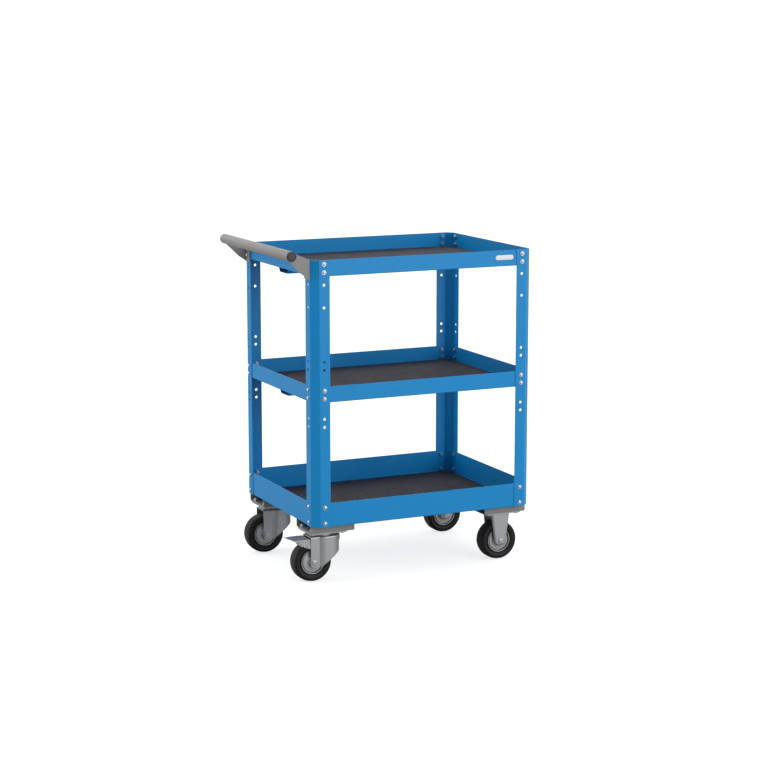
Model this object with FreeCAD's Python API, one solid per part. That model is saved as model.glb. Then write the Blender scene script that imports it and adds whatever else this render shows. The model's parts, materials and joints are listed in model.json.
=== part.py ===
import FreeCAD, Part
import math
import os
from FreeCAD import Vector

os.makedirs("parts", exist_ok=True)

# A three-tray workshop trolley. Millimetres, X along its length with the push handle
# at -X, Y across it with the front at -Y, Z up from the floor that the wheels stand on.

# Overall sizes
trolley_length = 600.0        # over the outer faces of the posts
trolley_width = 450.0         # over the outer faces of the posts
post_height = 658.0

# Sheet steel
post_sheet = 1.5
tray_sheet = 1.2
stiffener_sheet = 1.2
bracket_sheet = 3.0           # handle brackets and caster brackets
fork_sheet = 2.5
bend = 1.0                    # inside radius of every folded edge

# Corner posts, measured from the sharp corner that their bevel cuts off
flange_reach = 45.0
bevel = 17.5
hole_line = 30.0
hole_r = 3.5
spare_heights = (250.0, 270.0, 390.0, 410.0, 542.5, 597.5)   # above the foot of a post

# Trays
top_rim = 40.0
middle_rim = 40.0
bottom_rim = 60.0
middle_tray_height = 310.0    # underside of the middle tray above the foot of a post
rim_hole_edge = 10.0          # bolts stand this far from a rim's two edges
mat_thickness = 3.0
mat_margin = 6.0

# Hat stiffeners under the upper two trays
stiffener_depth = 15.0
stiffener_flat = 46.0
stiffener_slope = 10.0
stiffener_lip = 12.0
stiffener_end_gap = 18.0      # from its end to the outer face of the posts

# M6 bolts and nuts of the trays
bolt_r = 3.0
flange_r = 5.6
flange_height = 1.2
head_across_flats = 8.0
head_height = 2.8
nut_across_flats = 9.5
nut_height = 4.6
bolt_tail = 1.0               # thread that shows past the nut
thread_gap = 0.05

# Push handle
tube_d = 25.0
tube_wall = 2.0
tube_standoff = 53.0          # tube axis from the outer face of the posts
tube_rise = 12.0              # tube axis above the rim of the top tray
tube_overhang = 15.0          # tube end beyond a bracket plate
cap_height = 3.0
cap_plug = 14.0
bracket_nose = 10.5           # half height of a bracket plate where it is welded to the tube
bracket_drop = 47.0           # height of the flange that is bolted to the post

# Blank name plate on the front rim
plate_length = 50.0
plate_height = 12.0
plate_thickness = 0.8
plate_from_flange = 34.0      # its middle from the free edge of the post flange

# Caster brackets
rail_length = 116.0
rail_width = 94.0
rail_height = 20.0
rail_end_gap = 2.0            # from its outer end to the outer face of the posts
rail_side_gap = 21.5          # from its outer side to the outer face of the posts

# Casters
wheel_d = 100.0
wheel_width = 38.0
caster_height = 128.0
caster_plate = 3.0
caster_plate_length = 100.0
caster_plate_width = 85.0
plate_hole_x = 80.0
plate_hole_y = 60.0
plate_bolt_r = 4.0
plate_bolt_head_r = 7.0
plate_bolt_head = 4.0
plate_nut_height = 6.0
trail = 32.5                  # wheel axle behind the swivel axis
fork_half = 25.0              # fork leg's outer face from the wheel's middle plane
fixed_fork_half = 26.0
crown_r = 31.0
crown_front = 13.0            # middle of the fork's round front, ahead of the swivel axis
crown_drop = 12.5             # fork crown below the top of the caster plate
leg_back = 9.0                # swivel fork leg behind its axle
leg_front = 16.5              # and ahead of it
leg_below = 13.0              # and below it
fixed_top_half = 27.0         # fixed fork leg, half its length at the crown
fixed_low_half = 17.0         # and at the axle
running_gap = 0.3
kingpin_r = 6.0
pin_gap = 0.06                # radial clearance of every turning pin
ball_r = 3.0
ball_ring_r = 20.0
ball_count = 16
race_skirt = 2.0
race_skirt_drop = 7.0
axle_r = 4.0
axle_head_r = 6.5
axle_head = 3.6
hub_r = 31.0
hub_bore_r = 8.0
rim_half = 15.5
hub_dish = 1.0                # hub disc inside the edge of its rim
hub_groove = 4.0              # depth of the groove between the disc and the rim

# Brake of the front swivel caster, measured back and up from the wheel axle
brake_sheet = 1.2
pedal_pivot_back = 13.5
pedal_pivot_up = 42.5
pedal_pin_r = 2.5
pedal_pin_head_r = 4.0
pedal_pin_head = 1.8
pedal_swing = 6.0             # degrees
pedal_top = 60.5              # top face of the pedal plate
pedal_front = 12.0
pedal_back = 55.0
pedal_side = 4.5              # height of the pedal plate with its folded sides
tongue_reach = 70.0
tongue_half = 11.0
tongue_lift = 6.0
housing_back = 40.0
shoe_near = 18.0
shoe_far = 31.0

# Derived places
half_length = trolley_length / 2
half_width = trolley_width / 2
wheel_r = wheel_d / 2
foot = caster_height + rail_height                # foot of the posts above the floor
rim_top = foot + post_height
tray_x = half_length - post_sheet                 # outer faces of the rims
tray_y = half_width - post_sheet
bolt_height = flange_height + head_height
tube_r = tube_d / 2
tube_x = -half_length - tube_standoff
tube_z = rim_top + tube_rise
rail_x = half_length - rail_end_gap - rail_length / 2
rail_y = half_width - rail_side_gap - rail_width / 2
swivel_x = -(half_length - rail_end_gap - caster_plate_length / 2)
swivel_wheel_x = swivel_x - trail
fixed_x = rail_x
plate_under = caster_height - caster_plate
crown_top = caster_height - crown_drop
# The box of the whole trolley is centred on X = 0.
centre_shift = (tube_standoff + tube_r - bolt_height) / 2

# (name, underside above the foot of a post, rim)
trays = (
    ("top", post_height - top_rim, top_rim),
    ("middle", middle_tray_height, middle_rim),
    ("bottom", 0.0, bottom_rim),
)
# (name, side along X, side along Y)
corners = (
    ("front_left", -1, -1),
    ("front_right", 1, -1),
    ("rear_left", -1, 1),
    ("rear_right", 1, 1),
)


def save(name, shape):
    """Write one node, shifted from the posts' middle to the middle of the whole box."""
    shifted = shape.copy()
    shifted.translate(Vector(centre_shift, 0, 0))
    shifted.exportStep("parts/" + name + ".step")


def box(low, high):
    return Part.makeBox(high[0] - low[0], high[1] - low[1], high[2] - low[2], Vector(*low))


def rod(radius, start, end):
    """A solid cylinder from one point to another."""
    path = end.sub(start)
    return Part.makeCylinder(radius, path.Length, start, path)


def fuse(shapes):
    joined = shapes[0]
    if len(shapes) > 1:
        joined = shapes[0].fuse(list(shapes[1:]))
    return joined.removeSplitter()


def mirrored(shape, side_x, side_y):
    """A shape made for the -X, -Y corner, turned over to the corner that is asked for."""
    if side_x > 0:
        shape = shape.mirror(Vector(0, 0, 0), Vector(1, 0, 0))
    if side_y > 0:
        shape = shape.mirror(Vector(0, 0, 0), Vector(0, 1, 0))
    return shape


def outline(points, radii):
    """A flat face whose corners are rounded by arcs of the radii that are given."""
    corners_in_order = [Vector(*p) if len(p) == 3 else Vector(p[0], p[1], 0) for p in points]
    count = len(corners_in_order)
    edges = []
    ends = []
    for i in range(count):
        before = corners_in_order[i - 1]
        corner = corners_in_order[i]
        after = corners_in_order[(i + 1) % count]
        if radii[i] <= 0:
            ends.append((corner, None, corner))
            continue
        way_in = corner.sub(before).normalize()
        way_out = after.sub(corner).normalize()
        half_turn = way_in.getAngle(way_out) / 2
        back = radii[i] * math.tan(half_turn)
        inwards = way_out.sub(way_in).normalize()
        centre = corner.add(inwards * (radii[i] / math.cos(half_turn)))
        ends.append((
            corner.sub(way_in * back),
            centre.sub(inwards * radii[i]),
            corner.add(way_out * back),
        ))
    for i in range(count):
        start, middle, end = ends[i]
        if middle is not None:
            edges.append(Part.Arc(start, middle, end).toShape())
        nearest = ends[(i + 1) % count][0]
        if end.distanceToPoint(nearest) > 1e-6:
            edges.append(Part.LineSegment(end, nearest).toShape())
    return Part.Face(Part.Wire(edges))


def folded(points, sheet):
    """Section of a folded sheet: the points are one face, the other lies to their left."""
    line = [Vector(p[0], p[1], 0) for p in points]
    ways = [line[i + 1].sub(line[i]).normalize() for i in range(len(line) - 1)]
    lefts = [Vector(-w.y, w.x, 0) for w in ways]
    far = [line[0].add(lefts[0] * sheet)]
    near_radii = [0.0]
    far_radii = [0.0]
    for i in range(1, len(line) - 1):
        both = lefts[i - 1].add(lefts[i])
        share = 1.0 + lefts[i - 1].dot(lefts[i])
        far.append(line[i].add(both * (sheet / share)))
        turns_left = ways[i - 1].cross(ways[i]).z > 0
        near_radii.append(bend + sheet if turns_left else bend)
        far_radii.append(bend if turns_left else bend + sheet)
    far.append(line[-1].add(lefts[-1] * sheet))
    near_radii.append(0.0)
    far_radii.append(0.0)
    points_round = [(v.x, v.y) for v in line + far[::-1]]
    return outline(points_round, near_radii + far_radii[::-1])


def bevelled_plan(reach_x, reach_y, cut, radius, z):
    """An eight-sided plan: a rectangle whose corners are cut off at 45 degrees."""
    points = (
        (-reach_x + cut, -reach_y, z), (reach_x - cut, -reach_y, z),
        (reach_x, -reach_y + cut, z), (reach_x, reach_y - cut, z),
        (reach_x - cut, reach_y, z), (-reach_x + cut, reach_y, z),
        (-reach_x, reach_y - cut, z), (-reach_x, -reach_y + cut, z),
    )
    return outline(points, [radius] * 8)


def inset_bevel(cut, inset):
    """The corner cut of a plan that lies a constant distance inside another one."""
    return cut - inset * (2.0 - math.sqrt(2.0))


def side_prism(points, low, high):
    """A solid from one Y to another over an outline of points in X and Z with corner radii."""
    face = outline([(p[0], p[1]) for p in points], [p[2] for p in points])
    face.rotate(Vector(0, 0, 0), Vector(1, 0, 0), 90)
    face.translate(Vector(0, low, 0))
    return face.extrude(Vector(0, high - low, 0))


def hexagon(across_flats, height):
    radius = across_flats / math.sqrt(3.0)
    points = [
        (radius * math.cos(math.radians(60 * i)), radius * math.sin(math.radians(60 * i)))
        for i in range(6)
    ]
    return outline(points, [0.0] * 6).extrude(Vector(0, 0, height))


def placed(shape, position, direction):
    """Move a shape made along +Z to a position, with +Z turned to a direction."""
    moved = shape.copy()
    moved.Placement = FreeCAD.Placement(
        Vector(*position), FreeCAD.Rotation(Vector(0, 0, 1), Vector(*direction)))
    return moved


# Fasteners

def flange_bolt(grip):
    """Hexagon flange bolt with its seat at Z = 0 and its shank pointing down."""
    head = hexagon(head_across_flats, head_height)
    head.translate(Vector(0, 0, flange_height))
    flange = Part.makeCylinder(flange_r, flange_height)
    rounding = Part.makeSphere(flange_r, Vector(0, 0, bolt_height - flange_r))
    head = head.common(rounding)
    shank_length = grip + nut_height + bolt_tail
    shank = Part.makeCylinder(bolt_r, shank_length, Vector(0, 0, -shank_length))
    return fuse([flange, head, shank])


def nut(across_flats, height, bore_r):
    """Hexagon nut on Z = 0 with both its faces chamfered by a cone."""
    body = hexagon(across_flats, height)
    corner_r = across_flats / math.sqrt(3.0)
    flat_r = across_flats / 2
    rise = (corner_r - flat_r) * math.tan(math.radians(30))
    limit = Part.makeCone(flat_r, corner_r, rise)
    limit = limit.fuse(Part.makeCylinder(corner_r, height - 2 * rise, Vector(0, 0, rise)))
    limit = limit.fuse(Part.makeCone(corner_r, flat_r, rise, Vector(0, 0, height - rise)))
    bore = Part.makeCylinder(bore_r + thread_gap, height + 2, Vector(0, 0, -1))
    return body.common(limit).cut(bore)


def rim_bolt_heights(underside, rim):
    return (underside + rim_hole_edge, underside + rim - rim_hole_edge)


def tray_bolt_places():
    """Seat, outward direction and grip of each bolt between a post and a tray."""
    places = []
    for tray_name, underside, rim in trays:
        for height in rim_bolt_heights(underside, rim):
            z = foot + height
            for _, side_x, side_y in corners:
                under_handle = tray_name == "top" and side_x < 0
                extra = bracket_sheet if under_handle else 0.0
                grip = post_sheet + tray_sheet
                end_face = (side_x * (half_length + extra), side_y * (half_width - hole_line), z)
                front_face = (side_x * (half_length - hole_line), side_y * half_width, z)
                places.append((end_face, (side_x, 0, 0), grip + extra))
                places.append((front_face, (0, side_y, 0), grip))
    return places


def make_tray_fasteners():
    bolts = []
    nuts = []
    one_nut = nut(nut_across_flats, nut_height, bolt_r)
    for seat, outward, grip in tray_bolt_places():
        bolts.append(placed(flange_bolt(grip), seat, outward))
        inside = [seat[i] - outward[i] * grip for i in range(3)]
        inward = [-c for c in outward]
        nuts.append(placed(one_nut, inside, inward))
    save("tray_bolts", Part.makeCompound(bolts))
    save("tray_nuts", Part.makeCompound(nuts))


# Posts, trays, mats and stiffeners

def post_hole_heights():
    heights = list(spare_heights)
    for _, underside, rim in trays:
        heights.extend(rim_bolt_heights(underside, rim))
    return sorted(heights)


def flange_holes(depth, heights):
    """Drills for both flanges of the -X, -Y corner at the heights above the post's foot."""
    drills = []
    for height in heights:
        z = foot + height
        y = -half_width + hole_line
        x = -half_length + hole_line
        drills.append(rod(hole_r, Vector(-half_length - 1, y, z), Vector(-half_length + depth, y, z)))
        drills.append(rod(hole_r, Vector(x, -half_width - 1, z), Vector(x, -half_width + depth, z)))
    return drills


def make_posts():
    x = -half_length
    y = -half_width
    section = folded(
        ((x, y + flange_reach), (x, y + bevel), (x + bevel, y), (x + flange_reach, y)),
        post_sheet)
    section.translate(Vector(0, 0, foot))
    post = section.extrude(Vector(0, 0, post_height))
    post = post.cut(flange_holes(post_sheet + 1, post_hole_heights()))
    for name, side_x, side_y in corners:
        save("post_" + name, mirrored(post, side_x, side_y))


def make_tray(name, underside, rim):
    z = foot + underside
    outer_cut = inset_bevel(bevel, post_sheet)
    inner_cut = inset_bevel(bevel, post_sheet + tray_sheet)
    outer_bend = bend + 2 * tray_sheet
    outer = bevelled_plan(tray_x, tray_y, outer_cut, outer_bend, z)
    outer = outer.extrude(Vector(0, 0, rim))
    under_edges = [e for e in outer.Edges if e.BoundBox.ZMax < z + 0.01]
    outer = outer.makeFillet(bend + tray_sheet, under_edges)
    inner = bevelled_plan(
        tray_x - tray_sheet, tray_y - tray_sheet, inner_cut, outer_bend - tray_sheet, z + tray_sheet)
    inner = inner.extrude(Vector(0, 0, rim))
    floor_edges = [e for e in inner.Edges if e.BoundBox.ZMax < z + tray_sheet + 0.01]
    inner = inner.makeFillet(bend, floor_edges)
    tray = outer.cut(inner)
    drills = []
    for drill in flange_holes(post_sheet + tray_sheet + 1, rim_bolt_heights(underside, rim)):
        for _, side_x, side_y in corners:
            drills.append(mirrored(drill, side_x, side_y))
    save("tray_" + name, tray.cut(drills))


def make_mat(name, underside):
    inset = post_sheet + tray_sheet + mat_margin
    cut = inset_bevel(bevel, inset)
    plan = bevelled_plan(
        half_length - inset, half_width - inset, cut, 2.0, foot + underside + tray_sheet)
    save("mat_" + name, plan.extrude(Vector(0, 0, mat_thickness)))


def make_stiffener(name, underside):
    """A hat section with its lips against the underside of a tray."""
    flat = stiffener_flat / 2
    shoulder = flat + stiffener_slope
    lip = shoulder + stiffener_lip
    section = folded(
        ((-lip, 0), (-shoulder, 0), (-flat, -stiffener_depth + stiffener_sheet),
         (flat, -stiffener_depth + stiffener_sheet), (shoulder, 0), (lip, 0)),
        -stiffener_sheet)
    length = trolley_length - 2 * stiffener_end_gap
    section.rotate(Vector(0, 0, 0), Vector(1, 1, 1), 120)
    section.translate(Vector(-length / 2, 0, foot + underside))
    save("stiffener_" + name, section.extrude(Vector(length, 0, 0)))


# Push handle and name plate

def tangent_point(point, centre, radius, side):
    """Where a line from a point touches a circle, on the side that is asked for."""
    away = centre.sub(point)
    spread = math.asin(radius / away.Length)
    angle = math.atan2(away.z, away.x) + side * spread
    reach = math.sqrt(away.Length ** 2 - radius ** 2)
    return point.add(Vector(reach * math.cos(angle), 0, reach * math.sin(angle)))


def make_handle():
    plate_y = half_width - bevel                      # outer face of a bracket plate
    plate_in = plate_y - bracket_sheet
    face = -half_length
    tube_centre = Vector(tube_x, 0, tube_z)
    top_corner = Vector(face, 0, rim_top)
    low_knee = Vector(face - tube_standoff * 0.42, 0, rim_top - bracket_drop * 0.68)
    top_touch = tangent_point(top_corner, tube_centre, bracket_nose, -1)
    low_touch = tangent_point(low_knee, tube_centre, bracket_nose, 1)
    flange_low = rim_top - bracket_drop
    web = side_prism((
        (top_corner.x, top_corner.z, 0), (top_touch.x, top_touch.z, 0), (low_touch.x, low_touch.z, 0),
        (low_knee.x, low_knee.z, 14.0), (face, flange_low, 0)), -plate_y, -plate_in)
    flange = box(
        (face - bracket_sheet, -plate_y, flange_low),
        (face, -half_width + flange_reach, rim_top))
    seat = rod(tube_r, Vector(tube_x, -plate_y - 1, tube_z), Vector(tube_x, -plate_in + 1, tube_z))
    bracket = fuse([web, flange]).cut(seat)
    for height in rim_bolt_heights(trays[0][1], top_rim):
        z = foot + height
        y = -half_width + hole_line
        drill = rod(hole_r, Vector(face - bracket_sheet - 1, y, z), Vector(face + 1, y, z))
        bracket = bracket.cut(drill)
    end = plate_y + tube_overhang
    outside = rod(tube_r, Vector(tube_x, -end, tube_z), Vector(tube_x, end, tube_z))
    inside_r = tube_r - tube_wall
    hollow = rod(inside_r, Vector(tube_x, -end - 1, tube_z), Vector(tube_x, end + 1, tube_z))
    save("handle_tube", outside.cut(hollow))
    cap = rod(tube_r, Vector(tube_x, -end, tube_z), Vector(tube_x, -end - cap_height, tube_z))
    rim_edges = [e for e in cap.Edges if e.BoundBox.YMax < -end - cap_height + 0.01]
    cap = cap.makeFillet(cap_height * 0.6, rim_edges)
    plug_r = inside_r - thread_gap
    plug = rod(plug_r, Vector(tube_x, -end, tube_z), Vector(tube_x, -end + cap_plug, tube_z))
    cap = fuse([cap, plug])
    for name, side in (("front", -1), ("rear", 1)):
        save("handle_bracket_" + name, mirrored(bracket, -1, side))
        save("handle_cap_" + name, mirrored(cap, -1, side))


def make_name_plate():
    z = rim_top - top_rim * 0.45
    x = half_length - flange_reach - plate_from_flange
    end_r = plate_height / 2
    reach = plate_length / 2
    face = outline(
        ((x - reach, z - end_r), (x + reach, z - end_r), (x + reach, z + end_r), (x - reach, z + end_r)),
        [end_r * 0.98] * 4)
    face.rotate(Vector(0, 0, 0), Vector(1, 0, 0), 90)
    face.translate(Vector(0, -tray_y, 0))
    save("name_plate", face.extrude(Vector(0, -plate_thickness, 0)))


# Caster brackets, plate bolts and caster plates

def plate_hole_places(x, y):
    return [
        (x + sx * plate_hole_x / 2, y + sy * plate_hole_y / 2) for sx in (-1, 1) for sy in (-1, 1)
    ]


def plate_centre_x(side_x):
    return swivel_x if side_x < 0 else fixed_x


def make_rails():
    """Channels with their open side against the bottom tray and their ends open along X."""
    for name, side_x, side_y in corners:
        low = -rail_width / 2
        section = folded(
            ((low, foot), (low, caster_height), (-low, caster_height), (-low, foot)), bracket_sheet)
        section.rotate(Vector(0, 0, 0), Vector(1, 1, 1), 120)
        channel = section.extrude(Vector(rail_length, 0, 0))
        channel.translate(Vector(side_x * rail_x - rail_length / 2, side_y * rail_y, 0))
        x = plate_centre_x(side_x)
        drills = [
            Part.makeCylinder(plate_bolt_r + 0.5, bracket_sheet + 2, Vector(hx, hy, caster_height - 1))
            for hx, hy in plate_hole_places(x, side_y * rail_y)
        ]
        drills.append(Part.makeCylinder(
            2 * kingpin_r, bracket_sheet + 2, Vector(x, side_y * rail_y, caster_height - 1)))
        save("caster_bracket_" + name, channel.cut(drills))


def make_plate_fasteners():
    bolts = []
    nuts = []
    seat = plate_under
    nut_seat = caster_height + bracket_sheet
    one_nut = nut(2 * plate_bolt_head_r * 0.93, plate_nut_height, plate_bolt_r)
    for _, side_x, side_y in corners:
        for x, y in plate_hole_places(plate_centre_x(side_x), side_y * rail_y):
            head_low = seat - plate_bolt_head
            head = Part.makeCylinder(plate_bolt_head_r, plate_bolt_head, Vector(x, y, head_low))
            low_edges = [e for e in head.Edges if e.BoundBox.ZMax < head_low + 0.01]
            head = head.makeFillet(plate_bolt_head * 0.55, low_edges)
            shank_top = nut_seat + plate_nut_height + bolt_tail
            shank = Part.makeCylinder(plate_bolt_r, shank_top - seat, Vector(x, y, seat))
            bolts.append(fuse([head, shank]))
            nuts.append(placed(one_nut, (x, y, nut_seat), (0, 0, 1)))
    save("caster_bolts", Part.makeCompound(bolts))
    save("caster_nuts", Part.makeCompound(nuts))


def caster_top_plate(x, y):
    half_x = caster_plate_length / 2
    half_y = caster_plate_width / 2
    plan = outline(
        ((x - half_x, y - half_y, plate_under), (x + half_x, y - half_y, plate_under),
         (x + half_x, y + half_y, plate_under), (x - half_x, y + half_y, plate_under)),
        [8.0] * 4)
    plate = plan.extrude(Vector(0, 0, caster_plate))
    drills = [
        Part.makeCylinder(plate_bolt_r + 0.5, caster_plate + 2, Vector(hx, hy, plate_under - 1))
        for hx, hy in plate_hole_places(x, y)
    ]
    return plate.cut(drills)


# Casters

def make_swivel_head(name, y):
    """Top plate with its ball race skirt, the kingpin riveted through it, and the balls."""
    skirt_r = ball_ring_r + ball_r + running_gap + race_skirt
    skirt = Part.makeCylinder(skirt_r, race_skirt_drop, Vector(swivel_x, y, plate_under - race_skirt_drop))
    inside = Part.makeCylinder(
        skirt_r - race_skirt, race_skirt_drop + 1, Vector(swivel_x, y, plate_under - race_skirt_drop - 1))
    pin_hole = Part.makeCylinder(
        kingpin_r + thread_gap, caster_plate + 2, Vector(swivel_x, y, plate_under - 1))
    plate = caster_top_plate(swivel_x, y).fuse(skirt.cut(inside)).removeSplitter()
    save("swivel_plate_" + name, plate.cut(pin_hole))

    crown_under = crown_top - fork_sheet
    pin_head_top = crown_under - running_gap
    pin = Part.makeCylinder(kingpin_r, caster_height - pin_head_top, Vector(swivel_x, y, pin_head_top))
    low_head = Part.makeCone(
        kingpin_r, kingpin_r + 4.0, 3.0, Vector(swivel_x, y, pin_head_top - 3.0))
    top_head = Part.makeCone(
        kingpin_r + 3.0, kingpin_r + 1.0, 2.0, Vector(swivel_x, y, caster_height))
    save("kingpin_" + name, fuse([pin, low_head, top_head]))

    ball_z = plate_under - ball_r - thread_gap
    balls = []
    for i in range(ball_count):
        angle = 2 * math.pi * i / ball_count
        balls.append(Part.makeSphere(ball_r, Vector(
            swivel_x + ball_ring_r * math.cos(angle), y + ball_ring_r * math.sin(angle), ball_z)))
    save("race_balls_" + name, Part.makeCompound(balls))


def axle_bore(x, y):
    return rod(axle_r + thread_gap, Vector(x, y - 60, wheel_r), Vector(x, y + 60, wheel_r))


def make_swivel_fork(name, y):
    """A pressed shell, round in front of the swivel axis, with two flat legs to the axle."""
    back = swivel_wheel_x - leg_back
    low = wheel_r - leg_below

    def body(shrink, top):
        radius = crown_r - shrink
        about_pin = Part.makeCylinder(radius, top - low, Vector(swivel_x, y, low))
        round_front = Part.makeCylinder(radius, top - low, Vector(swivel_x + crown_front, y, low))
        between = box((swivel_x, y - radius, low), (swivel_x + crown_front, y + radius, top))
        half = fork_half - shrink
        legs = box((back - 1, y - half, low), (swivel_x, y + half, top))
        return fuse([about_pin, round_front, between, legs])

    shell = body(0.0, crown_top)
    crown_edges = [e for e in shell.Edges if e.BoundBox.ZMin > crown_top - 0.01
                   and e.BoundBox.XMax > back]
    shell = shell.makeFillet(fork_sheet + bend, crown_edges)
    shell = shell.cut(body(fork_sheet, crown_top - fork_sheet))
    front = swivel_x + crown_front + crown_r
    toe = swivel_wheel_x + leg_front
    keep = side_prism((
        (back, low, leg_below * 0.68),
        (toe, low, 10.0),
        (front - 8.0, wheel_r + 26.0, 20.0),
        (front + 1.0, wheel_r + 42.0, 0),
        (front + 1.0, crown_top + 1, 0),
        (back, crown_top + 1, 0),
    ), y - crown_r - 1, y + crown_r + 1)
    fork = shell.common(keep)
    throat_half = wheel_width / 2 + 3.0
    throat = box(
        (swivel_x, y - throat_half, low - 1), (front + 2, y + throat_half, crown_top - 14.0))
    fork = fork.cut(throat)
    dome_top = plate_under - 2 * ball_r - 2 * thread_gap
    dome_r = ball_ring_r + ball_r
    dome = Part.makeCylinder(dome_r, dome_top - crown_top + 1, Vector(swivel_x, y, crown_top - 1))
    fork = fork.fuse(dome).removeSplitter()
    pin_hole = Part.makeCylinder(
        kingpin_r + pin_gap, caster_height - low, Vector(swivel_x, y, low))
    save("fork_" + name, fork.cut([pin_hole, axle_bore(swivel_wheel_x, y)]))


def make_fixed_fork(name, y):
    """Top plate with two tapered legs whose edges are turned in around the wheel."""
    low = wheel_r - leg_below
    spread = (fixed_top_half - fixed_low_half) / (plate_under - wheel_r)
    low_half = fixed_low_half - spread * leg_below

    def body(shrink, half_y, top):
        toe_r = leg_below * 0.9
        return side_prism((
            (fixed_x - low_half + shrink, low, toe_r), (fixed_x + low_half - shrink, low, toe_r),
            (fixed_x + fixed_top_half - shrink, top, 0), (fixed_x - fixed_top_half + shrink, top, 0),
        ), y - half_y, y + half_y)

    outer = body(0.0, fixed_fork_half, plate_under)
    long_edges = [e for e in outer.Edges
                  if abs(e.BoundBox.YLength) < 0.01 and e.BoundBox.ZLength > wheel_r * 0.6]
    outer = outer.makeFillet(6.0, long_edges)
    inner = body(fork_sheet, fixed_fork_half - fork_sheet, plate_under - fork_sheet)
    shell = outer.cut(inner)
    mouth_half = wheel_width / 2 + 2.5
    mouth = box(
        (fixed_x - wheel_r, y - mouth_half, low - 1),
        (fixed_x + wheel_r, y + mouth_half, plate_under - fork_sheet))
    fork = fuse([shell.cut(mouth), caster_top_plate(fixed_x, y)])
    save("fork_" + name, fork.cut(axle_bore(fixed_x, y)))


def make_axle(name, x, y, half):
    """A bolt through both fork legs with its head outside, and a flat nut on the other leg."""
    outwards = 1 if y > 0 else -1
    head_y = y + outwards * half
    nut_y = y - outwards * half
    shank_end = nut_y - outwards * (axle_head + bolt_tail)
    shank = rod(axle_r, Vector(x, head_y, wheel_r), Vector(x, shank_end, wheel_r))
    head = rod(axle_head_r, Vector(x, head_y, wheel_r), Vector(x, head_y + outwards * axle_head, wheel_r))
    outer_edges = [e for e in head.Edges
                   if abs(e.BoundBox.Center.y - head_y - outwards * axle_head) < 0.01]
    head = head.makeFillet(axle_head * 0.6, outer_edges)
    save("axle_" + name, fuse([shank, head]))
    end_nut = nut(2 * axle_head_r, axle_head, axle_r)
    save("axle_nut_" + name, placed(end_nut, (x, nut_y, wheel_r), (0, -outwards, 0)))


def turned(profile, x, y):
    """Revolve a closed half profile of (distance along the axle, radius) about the axle."""
    points = [Vector(x, y + along, wheel_r + radius) for along, radius in profile]
    wire = Part.makePolygon(points + [points[0]])
    return Part.Face(wire).revolve(Vector(x, y, wheel_r), Vector(0, 1, 0), 360)


def make_wheel(name, x, y, half):
    """Rubber tyre on a pressed steel hub that turns on a plain bush."""
    w = wheel_width / 2
    tyre_profile = (
        (-rim_half, hub_r), (rim_half, hub_r), (rim_half + 1.5, hub_r + 3.0), (w, wheel_r - 9.0),
        (w - 1.2, wheel_r - 4.5), (w - 4.5, wheel_r - 1.4), (w - 9.0, wheel_r - 0.3), (0, wheel_r),
        (-w + 9.0, wheel_r - 0.3), (-w + 4.5, wheel_r - 1.4), (-w + 1.2, wheel_r - 4.5),
        (-w, wheel_r - 9.0), (-rim_half - 1.5, hub_r + 3.0),
    )
    save("tyre_" + name, turned(tyre_profile, x, y))
    boss = half - fork_sheet - running_gap
    disc = rim_half - hub_dish
    groove = disc - hub_groove
    hub_profile = (
        (-boss, hub_bore_r), (boss, hub_bore_r), (boss, hub_bore_r + 3.0), (disc + 2.0, hub_bore_r + 5.0),
        (disc, hub_bore_r + 8.0), (disc, hub_r - 4.6), (groove, hub_r - 4.0), (groove, hub_r - 2.8),
        (rim_half, hub_r - 2.0), (rim_half, hub_r), (-rim_half, hub_r), (-rim_half, hub_r - 2.0),
        (-groove, hub_r - 2.8), (-groove, hub_r - 4.0), (-disc, hub_r - 4.6), (-disc, hub_bore_r + 8.0),
        (-disc - 2.0, hub_bore_r + 5.0), (-boss, hub_bore_r + 3.0),
    )
    save("hub_" + name, turned(hub_profile, x, y))
    bush_profile = (
        (-boss, axle_r + pin_gap), (boss, axle_r + pin_gap),
        (boss, hub_bore_r), (-boss, hub_bore_r),
    )
    save("bush_" + name, turned(bush_profile, x, y))


# Brake

def brake_side(points, low, high):
    """A prism over points given as (back, up, corner radius) from the braked wheel's axle."""
    return side_prism([(swivel_wheel_x - p[0], wheel_r + p[1], p[2]) for p in points], low, high)


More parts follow.
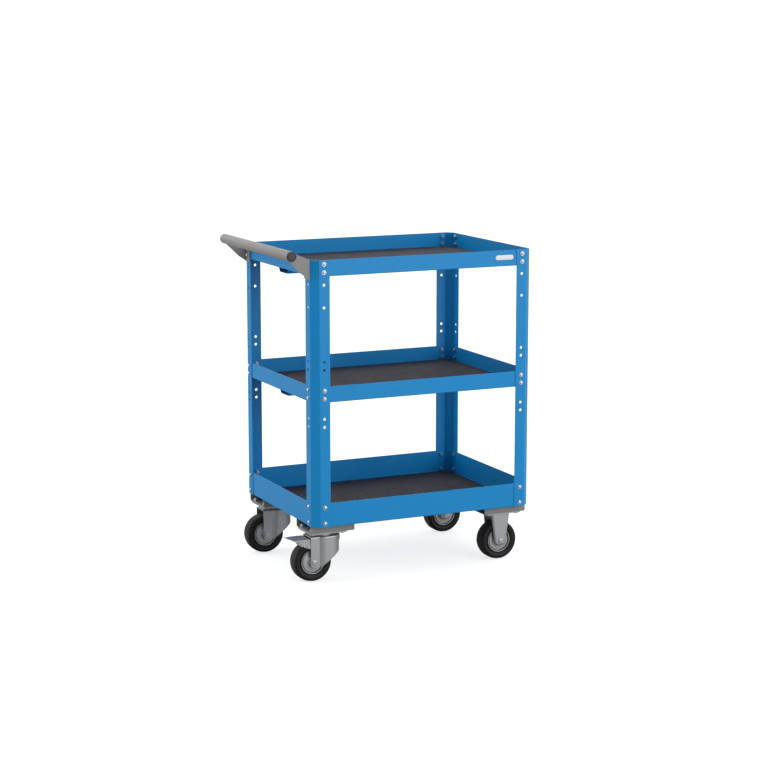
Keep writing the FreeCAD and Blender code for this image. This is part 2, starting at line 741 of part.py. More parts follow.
def make_brake(y):
    """A housing between the fork legs, the pedal that turns inside it, and their rivets."""
    cheek_out = fork_half - fork_sheet
    cheek_in = cheek_out - brake_sheet
    ear_out = cheek_in - running_gap
    ear_in = ear_out - brake_sheet
    side_in = cheek_out + running_gap
    side_out = side_in + brake_sheet
    under = pedal_top - brake_sheet
    pivot_x = swivel_wheel_x - pedal_pivot_back
    pivot_z = wheel_r + pedal_pivot_up
    pivot = Vector(pivot_x, y, pivot_z)
    sink = (housing_back - pedal_pivot_back) * math.tan(math.radians(pedal_swing)) + running_gap

    cheek = (
        (-3.0, pedal_pivot_up - 8.0, 0), (8.0, pedal_pivot_up - 8.0, 4.0),
        (26.0, pedal_pivot_up - 1.5, 12.0), (housing_back - 7.0, pedal_pivot_up + 4.0, 6.0),
        (housing_back, under - sink, 0), (pedal_pivot_back, under - running_gap, 0),
        (-3.0, under - running_gap, 0),
    )
    web = (
        (housing_back - 3.4, pedal_pivot_up + 8.0, 0), (housing_back - 1.8, pedal_pivot_up + 7.4, 0),
        (housing_back, under - sink, 0), (housing_back - brake_sheet, under - sink, 0),
    )
    housing = fuse([
        brake_side(cheek, y - cheek_out, y - cheek_in),
        brake_side(cheek, y + cheek_in, y + cheek_out),
        brake_side(web, y - cheek_out, y + cheek_out),
    ])
    pin_line = (Vector(pivot_x, y - fork_half, pivot_z), Vector(pivot_x, y + fork_half, pivot_z))
    save("brake_housing", housing.cut(rod(pedal_pin_r + thread_gap, *pin_line)))

    plate = (
        (pedal_front, under, 0), (pedal_back, under, 0),
        (pedal_back, pedal_top, 0), (pedal_front, pedal_top, 0),
    )
    plate_low = pedal_top - pedal_side
    folded_side = (
        (pedal_front, plate_low, 0), (pedal_back - 8.0, plate_low, 5.0), (pedal_back, under, 0),
        (pedal_back, pedal_top, 0), (pedal_front, pedal_top, 0),
    )
    tongue = (
        (pedal_back - 1.0, under, 0), (pedal_back + 1.0, under, 12.0),
        (tongue_reach, under + tongue_lift, 0), (tongue_reach - 0.5, pedal_top + tongue_lift, 0),
        (pedal_back + 0.5, pedal_top, 12.0), (pedal_back - 1.0, pedal_top, 0),
    )
    ear_low = pedal_pivot_up - 6.0
    ear = (
        (pedal_pivot_back - 6.5, ear_low, 5.0), (pedal_pivot_back + 5.0, ear_low, 5.0),
        (shoe_far, under, 0), (pedal_front, under, 0),
        (pedal_pivot_back - 6.5, pedal_pivot_up + 6.0, 4.0),
    )
    shoe = (
        (shoe_near, pedal_pivot_up - 12.0, 0), (shoe_far, pedal_pivot_up - 12.0, 0),
        (shoe_far, under, 0), (shoe_near, under, 0),
    )
    pressed_wheel = rod(
        wheel_r + running_gap, Vector(swivel_wheel_x, y - fork_half, wheel_r),
        Vector(swivel_wheel_x, y + fork_half, wheel_r))
    pressed_wheel.rotate(pivot, Vector(0, 1, 0), pedal_swing)
    pedal = fuse([
        brake_side(plate, y - side_out, y + side_out),
        brake_side(folded_side, y - side_out, y - side_in),
        brake_side(folded_side, y + side_in, y + side_out),
        brake_side(tongue, y - tongue_half, y + tongue_half),
        brake_side(ear, y - ear_out, y - ear_in),
        brake_side(ear, y + ear_in, y + ear_out),
        brake_side(shoe, y - ear_in, y + ear_in).cut(pressed_wheel),
    ])
    save("brake_pedal", pedal.cut(rod(pedal_pin_r + pin_gap, *pin_line)))

    pins = []
    for side in (-1, 1):
        inner = Vector(pivot_x, y + side * (ear_in - 0.3), pivot_z)
        outer = Vector(pivot_x, y + side * cheek_out, pivot_z)
        head_end = Vector(pivot_x, y + side * (cheek_out + pedal_pin_head), pivot_z)
        pins.append(fuse([rod(pedal_pin_r, inner, outer), rod(pedal_pin_head_r, outer, head_end)]))
    save("brake_rivets", Part.makeCompound(pins))


make_posts()
for tray_name, tray_underside, tray_rim in trays:
    make_tray(tray_name, tray_underside, tray_rim)
    make_mat(tray_name, tray_underside)
    if tray_name != "bottom":
        make_stiffener(tray_name, tray_underside)
make_tray_fasteners()
make_handle()
make_name_plate()
make_rails()
make_plate_fasteners()
for corner_name, corner_x, corner_y in corners:
    caster_y = corner_y * rail_y
    if corner_x < 0:
        make_swivel_head(corner_name, caster_y)
        make_swivel_fork(corner_name, caster_y)
        make_axle(corner_name, swivel_wheel_x, caster_y, fork_half)
        make_wheel(corner_name, swivel_wheel_x, caster_y, fork_half)
    else:
        make_fixed_fork(corner_name, caster_y)
        make_axle(corner_name, fixed_x, caster_y, fixed_fork_half)
        make_wheel(corner_name, fixed_x, caster_y, fixed_fork_half)
make_brake(-rail_y)
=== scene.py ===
import json
import math

import bpy
import numpy as np
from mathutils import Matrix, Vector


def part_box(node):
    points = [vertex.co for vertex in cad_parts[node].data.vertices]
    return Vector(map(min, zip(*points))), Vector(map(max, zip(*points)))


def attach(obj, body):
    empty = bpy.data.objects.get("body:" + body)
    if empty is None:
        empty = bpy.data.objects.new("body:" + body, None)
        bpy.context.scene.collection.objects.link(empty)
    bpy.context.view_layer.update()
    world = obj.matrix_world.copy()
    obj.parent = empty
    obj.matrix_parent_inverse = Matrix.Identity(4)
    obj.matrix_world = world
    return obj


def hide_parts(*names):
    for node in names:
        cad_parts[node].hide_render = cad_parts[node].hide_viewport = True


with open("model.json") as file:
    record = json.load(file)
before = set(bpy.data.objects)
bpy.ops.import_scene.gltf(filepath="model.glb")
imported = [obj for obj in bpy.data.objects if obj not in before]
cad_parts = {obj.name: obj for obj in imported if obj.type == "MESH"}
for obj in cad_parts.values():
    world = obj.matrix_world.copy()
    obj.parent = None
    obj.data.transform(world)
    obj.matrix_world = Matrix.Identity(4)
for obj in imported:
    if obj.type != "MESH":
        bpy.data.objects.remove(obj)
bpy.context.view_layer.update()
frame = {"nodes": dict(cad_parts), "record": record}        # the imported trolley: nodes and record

MM = 0.001
CORNERS = ("front_left", "front_right", "rear_left", "rear_right")
TRAYS = ("top", "middle", "bottom")


# Sizes read from the frame

def low(node):
    """Lowest corner of a node."""
    return np.array(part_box(node)[0])


def high(node):
    """Highest corner of a node."""
    return np.array(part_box(node)[1])


def middle(node):
    return (low(node) + high(node)) / 2


def extent(node):
    return high(node) - low(node)


# Meshes from arrays

def grid_faces(rows, columns, close_rows=False, close_columns=False):
    """Quads of a grid of rows x columns points, stored row by row, closed on itself where asked."""
    row = np.arange(rows if close_rows else rows - 1)
    column = np.arange(columns if close_columns else columns - 1)
    r, c = np.meshgrid(row, column, indexing="ij")
    r_next = (r + 1) % rows
    c_next = (c + 1) % columns
    quads = np.stack((
        r * columns + c, r * columns + c_next, r_next * columns + c_next, r_next * columns + c), axis=-1)
    return quads.reshape(-1, 4)


def piece(name, points, faces, finish, body):
    """A smooth-shaded mesh piece in metres that rides on a body."""
    mesh = bpy.data.meshes.new(name)
    mesh.from_pydata(np.asarray(points).reshape(-1, 3).tolist(), [], [list(f) for f in faces])
    mesh.polygons.foreach_set("use_smooth", np.full(len(mesh.polygons), True))
    mesh.materials.append(finish.material)
    mesh.update()
    made = bpy.data.objects.new(name, mesh)
    bpy.context.scene.collection.objects.link(made)
    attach(made, body)
    return made


def outwards(made):
    """Turns the faces of a closed mesh to point out of it."""
    mesh = made.data
    corners = np.empty(len(mesh.vertices) * 3)
    mesh.vertices.foreach_get("co", corners)
    corners = corners.reshape(-1, 3)
    mesh.calc_loop_triangles()
    triangles = np.empty(len(mesh.loop_triangles) * 3, dtype=np.int64)
    mesh.loop_triangles.foreach_get("vertices", triangles)
    a, b, c = (corners[triangles.reshape(-1, 3)[:, i]] for i in range(3))
    if np.einsum("ij,ij->i", a, np.cross(b, c)).sum() < 0:
        mesh.flip_normals()
    return made


def rounded(points, radii, steps=6):
    """A closed outline whose corners are replaced by arcs.

    At each corner the arc touches both sides at radius * tan(half the turn) from the corner,
    and its points are spread evenly over the turn about the arc's centre."""
    corner = np.array(points, dtype=float)
    way_in = corner - np.roll(corner, 1, axis=0)
    way_in /= np.linalg.norm(way_in, axis=1)[:, None]
    way_out = np.roll(way_in, -1, axis=0)
    half_turn = np.arccos(np.clip((way_in * way_out).sum(axis=1), -1, 1)) / 2
    radius = np.broadcast_to(np.array(radii, dtype=float), half_turn.shape)
    side = way_out - way_in
    length = np.linalg.norm(side, axis=1)
    side = side / np.where(length > 1e-9, length, 1)[:, None]
    centre = corner + side * (radius / np.cos(half_turn))[:, None]
    share = np.linspace(-1, 1, steps)[None, :, None]
    angle = share * half_turn[:, None, None]
    along = way_in + way_out
    along /= np.linalg.norm(along, axis=1)[:, None]
    arc = centre[:, None, :] + radius[:, None, None] * (
        np.sin(angle) * along[:, None, :] - np.cos(angle) * side[:, None, :])
    return arc.reshape(-1, 2)


def turned(profile, centre, steps):
    """Points of a closed profile of (distance along the axle, radius) turned about the Y axis.

    x = radius * sin(angle), y = distance, z = radius * cos(angle), about the axle's centre."""
    angle = np.linspace(0, 2 * math.pi, steps, endpoint=False)[:, None]
    along = profile[..., 0] * np.ones_like(angle)
    radius = profile[..., 1] * np.ones_like(angle)
    points = np.stack((radius * np.sin(angle), along, radius * np.cos(angle)), axis=-1)
    return points + np.array(centre)


def swept(path, radius, sides=10):
    """A round bead along a path: at each point a circle of the given radius lies across the path, with its first
    direction nearest to +Z."""
    path = np.asarray(path, dtype=float)
    way = np.gradient(path, axis=0)
    way /= np.linalg.norm(way, axis=1)[:, None]
    up = np.array([0.0, 0.0, 1.0]) - way * way[:, 2:3]
    flat = np.linalg.norm(up, axis=1) < 1e-3
    up[flat] = np.array([1.0, 0.0, 0.0])
    up /= np.linalg.norm(up, axis=1)[:, None]
    across = np.cross(way, up)
    angle = np.linspace(0, 2 * math.pi, sides, endpoint=False)[None, :, None]
    ring = up[:, None, :] * np.cos(angle) + across[:, None, :] * np.sin(angle)
    return path[:, None, :] + ring * np.asarray(radius)[:, None, None]


def bead(name, path, radius, finish, body):
    """A weld bead with a scaly surface: its radius rises and falls along the run."""
    count = len(path)
    share = np.linspace(0, 1, count)
    ends = np.sqrt(np.clip(1 - (2 * share - 1) ** 8, 0, 1))
    scales = 1 + 0.12 * np.sin(share * count * 1.3)
    points = swept(path, radius * ends * scales + 1e-6)
    sides = points.shape[1]
    faces = grid_faces(count, sides, close_columns=True).tolist()
    faces.append(list(range(sides))[::-1])
    faces.append([(count - 1) * sides + i for i in range(sides)])
    return outwards(piece(name, points, faces, finish, body))


# Materials

def linear(red, green, blue):
    """Screen colour, 0 to 255, as the linear colour that a socket takes."""
    share = np.array([red, green, blue]) / 255.0
    value = np.where(share <= 0.04045, share / 12.92, ((share + 0.055) / 1.055) ** 2.4)
    return (*value.tolist(), 1.0)


class Wire:
    """An output socket that can stand in a sum, so that an expression adds its Math nodes."""

    def __init__(self, finish, socket):
        self.finish = finish
        self.socket = socket

    def maths(self, operation, first, second):
        return self.finish.node("ShaderNodeMath", {"operation": operation}, {0: first, 1: second})

    def __add__(self, other):
        return self.maths("ADD", self, other)

    __radd__ = __add__

    def __sub__(self, other):
        return self.maths("SUBTRACT", self, other)

    def __rsub__(self, other):
        return self.maths("SUBTRACT", other, self)

    def __mul__(self, other):
        return self.maths("MULTIPLY", self, other)

    __rmul__ = __mul__


class Finish:
    """One material of the trolley, for one slot of the record."""

    def __init__(self, name, slot, constants):
        self.slot = slot
        self.material = bpy.data.materials.new(name)
        self.material.use_nodes = True
        self.tree = self.material.node_tree
        self.tree.nodes.clear()
        output = self.tree.nodes.new("ShaderNodeOutputMaterial")
        self.surface = self.tree.nodes.new("ShaderNodeBsdfPrincipled")
        self.tree.links.new(self.surface.outputs[0], output.inputs["Surface"])
        self.drive(constants)
        self.place = self.node("ShaderNodeTexCoord", {}, {}, "Object")

    def node(self, kind, settings, sockets, output=0):
        """Adds a node: its settings first, then the values or links of its sockets."""
        made = self.tree.nodes.new(kind)
        for key, value in settings.items():
            if key == "stops":
                self.set_stops(made.color_ramp, value)
            else:
                setattr(made, key, value)
        for key, value in sockets.items():
            self.feed(made.inputs[key], value)
        return Wire(self, made.outputs[output])

    def set_stops(self, ramp, stops):
        while len(ramp.elements) < len(stops):
            ramp.elements.new(1.0)
        for element, (position, value) in zip(ramp.elements, stops):
            element.position = position
            element.color = (value, value, value, 1.0)

    def feed(self, socket, value):
        if isinstance(value, Wire):
            self.tree.links.new(value.socket, socket)
        else:
            socket.default_value = value

    def drive(self, sockets):
        """Sets or links sockets of the surface shader."""
        for key, value in sockets.items():
            self.feed(self.surface.inputs[key], value)

    def stretched(self, scale):
        """Object coordinates multiplied along each axis."""
        return self.node("ShaderNodeMapping", {}, {"Vector": self.place, "Scale": scale})

    def noise(self, scale, detail=2.0, vector=None, roughness=0.5):
        return self.node("ShaderNodeTexNoise", {}, {
            "Vector": vector or self.place, "Scale": scale, "Detail": detail, "Roughness": roughness})

    def cells(self, scale, feature="F1"):
        return self.node(
            "ShaderNodeTexVoronoi", {"feature": feature}, {"Vector": self.place, "Scale": scale})

    def ramp(self, factor, stops):
        """A grey value through stops of (position, value)."""
        return self.node("ShaderNodeValToRGB", {"stops": stops}, {"Fac": factor})

    def mix(self, factor, first, second):
        return self.node("ShaderNodeMix", {"data_type": "RGBA"}, {0: factor, 6: first, 7: second}, 2)

    def bump(self, height, strength, distance):
        return self.node(
            "ShaderNodeBump", {}, {"Height": height, "Strength": strength, "Distance": distance})


def powder_coat(name, slot, colour, shade, roughness):
    """Powder coat: slow drift of tone, fine orange peel and a little uneven gloss."""
    finish = Finish(name, slot, {"Specular IOR Level": 0.28, "Coat Roughness": 0.2})
    drift = finish.noise(7.0, 3.0)
    peel = finish.noise(650.0, 2.0)
    specks = finish.noise(2600.0, 1.0)
    finish.drive({
        "Base Color": finish.mix(drift, colour, shade),
        "Roughness": roughness + 0.10 * (finish.noise(45.0, 3.0) - 0.5) + 0.05 * (specks - 0.5),
        "Coat Weight": 0.02 + 0.05 * drift,
        "Normal": finish.bump(peel + 0.35 * specks, 0.16, 0.25 * MM),
    })
    return finish


def zinc_plate(name, slot, colour, shade, roughness, grain):
    """Plated steel: fine grain, a cloudy tone and faint crystals."""
    finish = Finish(name, slot, {"Specular IOR Level": 0.5})
    clouds = finish.noise(38.0, 4.0)
    crystals = finish.cells(260.0)
    lines = finish.noise(900.0, 2.0, finish.stretched(grain))
    finish.drive({
        "Base Color": finish.mix(clouds * 0.7 + crystals * 0.35, colour, shade),
        "Metallic": 0.86 + 0.10 * clouds,
        "Roughness": roughness + 0.16 * (clouds - 0.5) + 0.10 * (lines - 0.5),
        "Normal": finish.bump(lines + 0.5 * crystals, 0.10, 0.12 * MM),
    })
    return finish


def moulded_rubber(name, slot, colour, dust, roughness):
    """Rubber: a fine open skin, and a lighter bloom in soft patches."""
    finish = Finish(name, slot, {"Specular IOR Level": 0.24})
    bloom = finish.ramp(finish.noise(24.0, 4.0), ((0.38, 0.0), (0.72, 1.0)))
    skin = finish.noise(1500.0, 3.0)
    pores = finish.cells(2200.0)
    finish.drive({
        "Base Color": finish.mix(bloom * 0.4 + skin * 0.2, colour, dust),
        "Roughness": roughness + 0.14 * (finish.noise(60.0, 3.0) - 0.5) - 0.05 * bloom,
        "Normal": finish.bump(skin + 0.4 * pores, 0.35, 0.15 * MM),
    })
    return finish


def ribbed_rubber(name, slot, colour, dust, groove, pitch, roughness):
    """Rubber matting: painted shade darkens the grooves between its ribs, which repeat along X.

    Share of a rib = 0.5 + 0.5 * cos(2 * pi * (x - middle of the mats) / pitch)."""
    finish = moulded_rubber(name, slot, colour, dust, roughness)
    x = finish.node("ShaderNodeSeparateXYZ", {}, {"Vector": finish.place})
    turn = (x - float(middle("mat_top")[0])) * (2 * math.pi / pitch)
    share = 0.5 + 0.5 * finish.node("ShaderNodeMath", {"operation": "COSINE"}, {0: turn})
    clouds = finish.ramp(finish.noise(24.0, 4.0), ((0.38, 0.0), (0.72, 1.0)))
    rib_tone = finish.mix(clouds * 0.4, colour, dust)
    # painted shade: the groove colour is mixed in where the ribs dip, between them
    finish.drive({"Base Color": finish.mix(finish.ramp(share, ((0.10, 0.0), (0.45, 1.0))), groove, rib_tone)})
    return finish


def moulded_plastic(name, slot, colour, worn, roughness):
    """Plastic with a spark-eroded texture and slightly polished high spots."""
    finish = Finish(name, slot, {"Specular IOR Level": 0.45})
    texture = finish.noise(1800.0, 2.0)
    polish = finish.noise(90.0, 3.0)
    finish.drive({
        "Base Color": finish.mix(polish * 0.5, colour, worn),
        "Roughness": roughness + 0.15 * (polish - 0.5),
        "Normal": finish.bump(texture, 0.3, 0.12 * MM),
    })
    return finish


BLUE = powder_coat("blue powder coat", "blue_paint", linear(0, 132, 196), linear(0, 128, 191), 0.42)
GREY = powder_coat(
    "warm grey powder coat", "grey_paint", linear(138, 135, 134), linear(132, 129, 128), 0.46)
RIB_PITCH = 9.0 * MM
# linear(24, 23, 28) is painted shade for the grooves between the ribs
MAT = ribbed_rubber(
    "ribbed matting", "mat_rubber", linear(52, 50, 57), linear(62, 60, 66), linear(24, 23, 28),
    RIB_PITCH, 0.66)
TYRE = moulded_rubber("tyre rubber", "tyre_rubber", linear(26, 26, 27), linear(40, 39, 39), 0.58)
BOLT_ZINC = zinc_plate("bright zinc", "zinc", linear(206, 208, 214), linear(182, 186, 195), 0.30, (1, 1, 6))
CASTER_ZINC = zinc_plate(
    "satin zinc", "caster_zinc", linear(184, 185, 186), linear(164, 165, 168), 0.42, (1, 1, 8))
RACE_STEEL = zinc_plate(
    "race steel", "bearing_steel", linear(190, 192, 195), linear(170, 173, 178), 0.18, (3, 3, 3))
BUSH = moulded_plastic("bush nylon", "bush_plastic", linear(60, 60, 63), linear(74, 74, 78), 0.50)
CAP = moulded_plastic("cap plastic", "black_plastic", linear(42, 42, 44), linear(54, 54, 56), 0.48)
PLATE = moulded_plastic("plate enamel", "plate_white", linear(216, 219, 223), linear(226, 228, 231), 0.25)

FINISH_OF_SLOT = {f.slot: f for f in (
    BLUE, GREY, MAT, TYRE, BOLT_ZINC, CASTER_ZINC, RACE_STEEL, BUSH, CAP, PLATE)}


def finish_cad_nodes():
    """Gives each carried-over node the finish of its slot in the record."""
    for row in frame["record"]["subparts"]:
        mesh = frame["nodes"][row["node"]].data
        mesh.materials.clear()
        mesh.materials.append(FINISH_OF_SLOT[row["material_slot"]].material)


# Mats

def ribbed_mat(name):
    """A mat whose top rises and falls along X in rounded ribs that run across the tray.

    At each station along X the section is a flat strip with rounded edges. Its half width
    follows the bevelled corners. Its top is thickness - rib + rib * wave, where wave is the
    clipped cosine c of x, smoothed as c * c * (3 - 2 * c)."""
    node = "mat_" + name
    lowest, highest = low(node), high(node)
    half = extent(node) / 2
    centre = middle(node)
    thickness = extent(node)[2]
    rib = 1.7 * MM
    bevel = 15.0 * MM
    edge = 0.8 * MM
    ribs = int(2 * half[0] / RIB_PITCH)
    stations_per_rib = 10
    x = np.linspace(-half[0], half[0], ribs * stations_per_rib + 1)
    wave = np.clip(0.7 + 0.9 * np.cos(2 * math.pi * x / RIB_PITCH), 0, 1)
    wave = wave * wave * (3 - 2 * wave)
    top = thickness - rib + rib * wave
    reach = half[1] - np.clip(np.abs(x) - (half[0] - bevel), 0, None)
    side = np.array([-1.0, -1.0, -1.0, -1.0, -0.5, 0.0, 0.5, 1.0, 1.0, 1.0, 1.0])
    pull = np.array([0.0, 0.0, 0.3, 1.0, 1.0, 1.0, 1.0, 1.0, 0.3, 0.0, 0.0])
    rise = np.array([0.0, 1.0, 0.3, 0.0, 0.0, 0.0, 0.0, 0.0, 0.3, 1.0, 0.0])
    base = np.array([1.0, 0.0, 0.0, 0.0, 0.0, 0.0, 0.0, 0.0, 0.0, 0.0, 1.0])
    y = side * (reach[:, None] - edge * pull)
    z = np.where(base > 0, 0.0, top[:, None] - edge * rise)
    points = np.stack((
        np.broadcast_to(x[:, None], y.shape) + centre[0], y + centre[1], z + lowest[2]), axis=-1)
    rows, columns = y.shape
    faces = grid_faces(rows, columns, close_columns=True).tolist()
    faces.append(list(range(columns)))
    faces.append([(rows - 1) * columns + i for i in range(columns)][::-1])
    made = outwards(piece("ribbed_" + node, points, faces, MAT, "frame"))
    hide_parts(node)


# Wheels

def grooved_tyre(corner):
    """A tyre: a squarish rounded section turned about the axle, with fine slanting grooves
    pressed into both shoulders of the tread.

    Section: distance = half width * signed root of cosine, radius = middle + half height *
    signed root of sine. Groove depth = depth * pulse(angle) * shoulder window."""
    node = "tyre_" + corner
    centre = middle(node)
    outer = extent(node)[2] / 2
    half_width = extent(node)[1] / 2
    inner = extent("hub_" + corner)[2] / 2
    steps, around, grooves = 1080, 48, 60
    groove_depth = 2.2 * MM
    groove_half_width = 0.27     # share of the pitch between grooves
    groove_slant = 0.42          # turn of a groove over the shoulder's height
    turn = np.linspace(0, 2 * math.pi, around, endpoint=False)[None, :]
    angle = np.linspace(0, 2 * math.pi, steps, endpoint=False)[:, None]
    rounding = 0.50
    across = np.sign(np.cos(turn)) * np.abs(np.cos(turn)) ** rounding
    upward = np.sign(np.sin(turn)) * np.abs(np.sin(turn)) ** rounding
    radius = (outer + inner) / 2 + (outer - inner) / 2 * upward
    waist = 1.0 - 0.20 * np.clip((0.2 - upward) / 1.2, 0, 1)
    along = half_width * across * waist
    shoulder = np.clip((upward - 0.20) / 0.2, 0, 1) * np.clip((np.abs(across) - 0.20) / 0.2, 0, 1)
    slant = groove_slant * np.sign(across) * (1 - upward)
    phase = (angle + slant) * grooves / (2 * math.pi)
    pulse = np.clip(1 - (np.abs(phase - np.round(phase)) / groove_half_width) ** 2, 0, 1)
    depth = groove_depth * pulse * shoulder
    bead_line = 0.35 * MM * np.exp(-((upward + 0.15) / 0.10) ** 2) * (np.abs(across) > 0.6)
    radius = radius - depth * 0.7
    along = along - np.sign(across) * (depth * 0.7 + bead_line)
    section = np.stack(np.broadcast_arrays(along, radius), axis=-1)
    points = turned(section, centre, steps)
    faces = grid_faces(steps, around, close_rows=True, close_columns=True)
    made = outwards(piece("grooved_" + node, points, faces, TYRE, "wheel_" + corner))
    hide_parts(node)


def pressed_hub(corner):
    """A pressed wheel disc: a rolled outer ring, a groove beside it, a dished web with a
    raised collar, and the boss that holds the bush. The half section is mirrored about the
    middle of the wheel, its corners are rounded, and it is turned about the axle."""
    node = "hub_" + corner
    boss = extent(node)[1] / 2 / MM
    outer = extent(node)[2] / 2 / MM
    bore = extent("bush_" + corner)[2] / 2 / MM
    half = [
        (boss, bore), (boss, bore + 2.6), (boss - 1.2, bore + 3.4), (16.4, bore + 4.4), (14.6, bore + 7.6),
        (14.2, outer - 6.0), (14.2, outer - 4.8), (9.0, outer - 4.3), (9.0, outer - 2.9),
        (16.2, outer - 2.0), (16.2, outer),
    ]
    radii = [0.3, 0.7, 0.8, 1.6, 2.0, 1.0, 0.8, 0.4, 0.4, 0.6, 0.4]
    mirror = [(-a, r) for a, r in half[::-1]]
    section = rounded(half + mirror, radii + radii[::-1], 5) * MM
    steps = 144
    points = turned(section[None], middle(node), steps)
    faces = grid_faces(steps, len(section), close_rows=True, close_columns=True)
    made = outwards(piece("pressed_" + node, points, faces, CASTER_ZINC, "wheel_" + corner))
    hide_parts(node)


# Handle

def handle_bar():
    """The push tube: a thin wall with eased ends, turned about its own axis."""
    node = "handle_tube"
    half = extent(node)[1] / 2 / MM
    outer = extent(node)[2] / 2 / MM
    wall = 2.0
    section = rounded(
        [(-half, outer - wall), (-half, outer), (half, outer), (half, outer - wall)], 0.45, 5) * MM
    steps = 128
    points = turned(section[None], middle(node), steps)
    faces = grid_faces(steps, len(section), close_rows=True, close_columns=True)
    made = outwards(piece("push_bar", points, faces, GREY, "frame"))
    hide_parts(node)


def handle_caps():
    """End caps: a domed disc with a soft rim, a shallow ring and a plug that fills the bore."""
    for end, side in (("front", -1), ("rear", 1)):
        node = "handle_cap_" + end
        box_low, box_high = low(node) / MM, high(node) / MM
        outer = extent(node)[2] / 2 / MM
        tip = box_low[1] if side < 0 else box_high[1]
        root = box_high[1] if side < 0 else box_low[1]
        seat = (high("handle_tube")[1] if side > 0 else low("handle_tube")[1]) / MM
        plug = outer - 2.2
        outline = [
            (root, 0.01), (root, plug), (seat, plug), (seat, outer), (tip - side * 1.0, outer),
            (tip - side * 0.2, outer - 3.0), (tip - side * 0.7, outer - 4.2), (tip, outer - 5.5), (tip, 0.01)]
        section = rounded(outline, [0, 0.8, 0.2, 0.2, 0.9, 0.8, 0.5, 0.8, 0], 6) * MM
        steps = 96
        centre = middle(node) * np.array([1, 0, 1])
        points = turned(section[None], centre, steps)
        faces = grid_faces(steps, len(section), close_rows=True, close_columns=True)
        made = outwards(piece("domed_" + node, points, faces, CAP, "frame"))
        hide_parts(node)


def handle_welds():
    """Beads where each bracket plate meets the tube: arcs about the tube's axis."""
    tube = middle("handle_tube")
    tube_r = extent("handle_tube")[2] / 2
    angle = np.radians(np.linspace(-50, 48, 60))
    for end in ("front", "rear"):
        node = "handle_bracket_" + end
        plate = low(node)[1] if end == "front" else high(node)[1]
        inner_way = 1 if end == "front" else -1
        for label, y in (("outer", plate), ("inner", plate + inner_way * 3.0 * MM)):
            path = np.stack((
                tube[0] + (tube_r + 0.3 * MM) * np.cos(angle), np.full_like(angle, y),
                tube[2] + (tube_r + 0.3 * MM) * np.sin(angle)), axis=-1)
            bead("weld_" + end + "_" + label, path, 1.5 * MM, GREY, "frame")


def rail_welds():
    """Short stitch beads along the top of each caster bracket, against the tray."""
    for corner in CORNERS:
        node = "caster_bracket_" + corner
        lowest, highest = low(node), high(node)
        length = highest[0] - lowest[0]
        for side, y in (("a", lowest[1]), ("b", highest[1])):
            for part, share in ((1, 0.16), (2, 0.5), (3, 0.84)):
                x = lowest[0] + length * share + np.linspace(-11, 11, 36) * MM
                path = np.stack((x, np.full_like(x, y), np.full_like(x, highest[2] - 0.7 * MM)), axis=-1)
                bead("weld_%s_%s%d" % (corner, side, part), path, 1.6 * MM, GREY, "frame")


# Name plate

def blank_plate():
    """A blank plate: a domed face with half-round ends, thin at its rim.

    Outline: x = straight half + end radius * cosine, z = end radius * sine. Rings shrink
    from the outline to the middle, and the face stands out by
    thickness * (0.35 + 0.65 * (1 - ring ** 10)), less a fine groove near the rim."""
    node = "name_plate"
    size = extent(node)
    centre = middle(node)
    end_r = size[2] / 2
    straight = size[0] / 2 - end_r
    angle = np.linspace(0, 2 * math.pi, 96, endpoint=False)[None, :]
    ring = np.array([1.0, 0.985, 0.95, 0.90, 0.86, 0.84, 0.80, 0.6, 0.3, 0.02])[:, None]
    x = np.sign(np.cos(angle)) * straight + end_r * np.cos(angle)
    z = end_r * np.sin(angle)
    groove = 0.18 * MM * np.exp(-((ring - 0.85) / 0.02) ** 2)
    stand = size[1] * (0.35 + 0.65 * (1 - ring ** 10)) - groove
    front = np.stack(np.broadcast_arrays(
        centre[0] + x * ring, high(node)[1] - stand, centre[2] + z * ring), axis=-1)
    back = np.stack(np.broadcast_arrays(
        centre[0] + x, np.full_like(x, high(node)[1]), centre[2] + z), axis=-1)
    points = np.concatenate((back, front), axis=0)
    rows, columns = points.shape[:2]
    faces = grid_faces(rows, columns, close_columns=True).tolist()
    faces.append(list(range(columns))[::-1])
    faces.append([(rows - 1) * columns + i for i in range(columns)])
    made = outwards(piece("blank_name_plate", points, faces, PLATE, "frame"))
    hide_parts(node)


# Stage

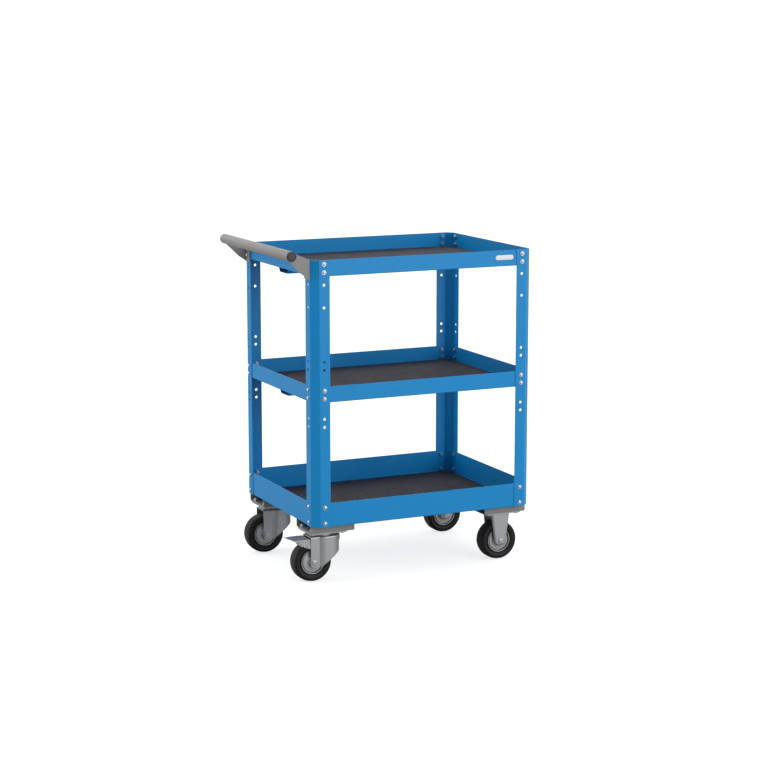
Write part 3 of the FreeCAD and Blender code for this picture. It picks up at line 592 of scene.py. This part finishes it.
def stage():
    """A plain floor that looks pale, in a white surround that is dimmer to the front left."""
    floor_half = 500.0           # metres, so that its edge lies past the horizon
    floor_tone = 0.42            # share of the light that it sends back
    floor_glow = 0.72            # added where the camera sees it
    dim_way = (-0.80, -0.60, 0.0)
    white, dim = 1.25, 0.22      # strength of the surround
    dim_starts, dim_full = 0.35, 0.92
    mesh = bpy.data.meshes.new("floor")
    mesh.from_pydata(
        [(-floor_half, -floor_half, 0), (floor_half, -floor_half, 0),
         (floor_half, floor_half, 0), (-floor_half, floor_half, 0)], [], [(0, 1, 2, 3)])
    floor = bpy.data.objects.new("floor", mesh)
    bpy.context.scene.collection.objects.link(floor)
    matt = bpy.data.materials.new("pale floor")
    matt.use_nodes = True
    shader = matt.node_tree.nodes["Principled BSDF"]
    shader.inputs["Base Color"].default_value = (floor_tone, floor_tone, floor_tone, 1)
    shader.inputs["Roughness"].default_value = 0.85
    shader.inputs["Specular IOR Level"].default_value = 0.0
    shader.inputs["Emission Color"].default_value = (1, 1, 1, 1)
    rays = matt.node_tree.nodes.new("ShaderNodeLightPath")
    glow = matt.node_tree.nodes.new("ShaderNodeMath")
    glow.operation = "MULTIPLY"
    glow.inputs[1].default_value = floor_glow
    matt.node_tree.links.new(rays.outputs["Is Camera Ray"], glow.inputs[0])
    matt.node_tree.links.new(glow.outputs["Value"], shader.inputs["Emission Strength"])
    mesh.materials.append(matt)

    world = bpy.data.worlds.new("studio")
    bpy.context.scene.world = world
    world.use_nodes = True
    tree = world.node_tree
    background = tree.nodes["Background"]
    background.inputs["Color"].default_value = (1, 1, 1, 1)
    direction = tree.nodes.new("ShaderNodeTexCoord")
    nearness = tree.nodes.new("ShaderNodeVectorMath")
    nearness.operation = "DOT_PRODUCT"
    nearness.inputs[1].default_value = dim_way
    shade = tree.nodes.new("ShaderNodeMapRange")
    shade.interpolation_type = "SMOOTHSTEP"
    for key, value in (
            ("From Min", dim_starts), ("From Max", dim_full), ("To Min", white), ("To Max", dim)):
        shade.inputs[key].default_value = value
    seen = tree.nodes.new("ShaderNodeLightPath")
    strength = tree.nodes.new("ShaderNodeMath")
    strength.operation = "MAXIMUM"
    tree.links.new(direction.outputs["Generated"], nearness.inputs[0])
    tree.links.new(nearness.outputs["Value"], shade.inputs["Value"])
    tree.links.new(shade.outputs["Result"], strength.inputs[0])
    tree.links.new(seen.outputs["Is Camera Ray"], strength.inputs[1])
    tree.links.new(strength.outputs["Value"], background.inputs["Strength"])


def soft_light(name, azimuth):
    """A square soft box aimed at the middle of the trolley. Azimuth 0 is the front."""
    elevation, distance, size, power = 14.0, 4.5, 2.6, 62.0     # degrees, metres, metres, watts
    target = np.array([0.0, 0.0, 0.45])
    around, tilt = math.radians(azimuth), math.radians(elevation)
    way = np.array([math.sin(around) * math.cos(tilt), -math.cos(around) * math.cos(tilt), math.sin(tilt)])
    lamp = bpy.data.lights.new(name, "AREA")
    lamp.shape = "SQUARE"
    lamp.size = size
    lamp.energy = power
    made = bpy.data.objects.new(name, lamp)
    bpy.context.scene.collection.objects.link(made)
    made.location = target + way * distance
    made.rotation_euler = (math.radians(90) - tilt, 0, around)


def camera():
    """A long lens from the front, a little to the left and above the top tray."""
    eye = bpy.data.cameras.new("camera")
    to_left, ahead, above_posts = 2.2575, 4.8165, 1.2494     # metres, from the plan centre
    tilt_down, turn_right = 10.074, 25.011                   # degrees
    eye.lens = 98.92
    eye.sensor_width = 36.0
    eye.clip_end = 2000.0
    made = bpy.data.objects.new("camera", eye)
    bpy.context.scene.collection.objects.link(made)
    plan_centre = (low("post_front_left")[0] + high("post_front_right")[0]) / 2
    made.location = (plan_centre - to_left, -ahead, low("post_front_left")[2] + above_posts)
    made.rotation_euler = (math.radians(90 - tilt_down), 0, math.radians(-turn_right))
    bpy.context.scene.camera = made


finish_cad_nodes()
for tray in TRAYS:
    ribbed_mat(tray)
for corner_name in CORNERS:
    grooved_tyre(corner_name)
    pressed_hub(corner_name)
handle_bar()
handle_caps()
handle_welds()
rail_welds()
blank_plate()
stage()
soft_light("key", 20.0)
soft_light("fill", -112.0)
camera()
bpy.context.scene.view_settings.view_transform = "Standard"
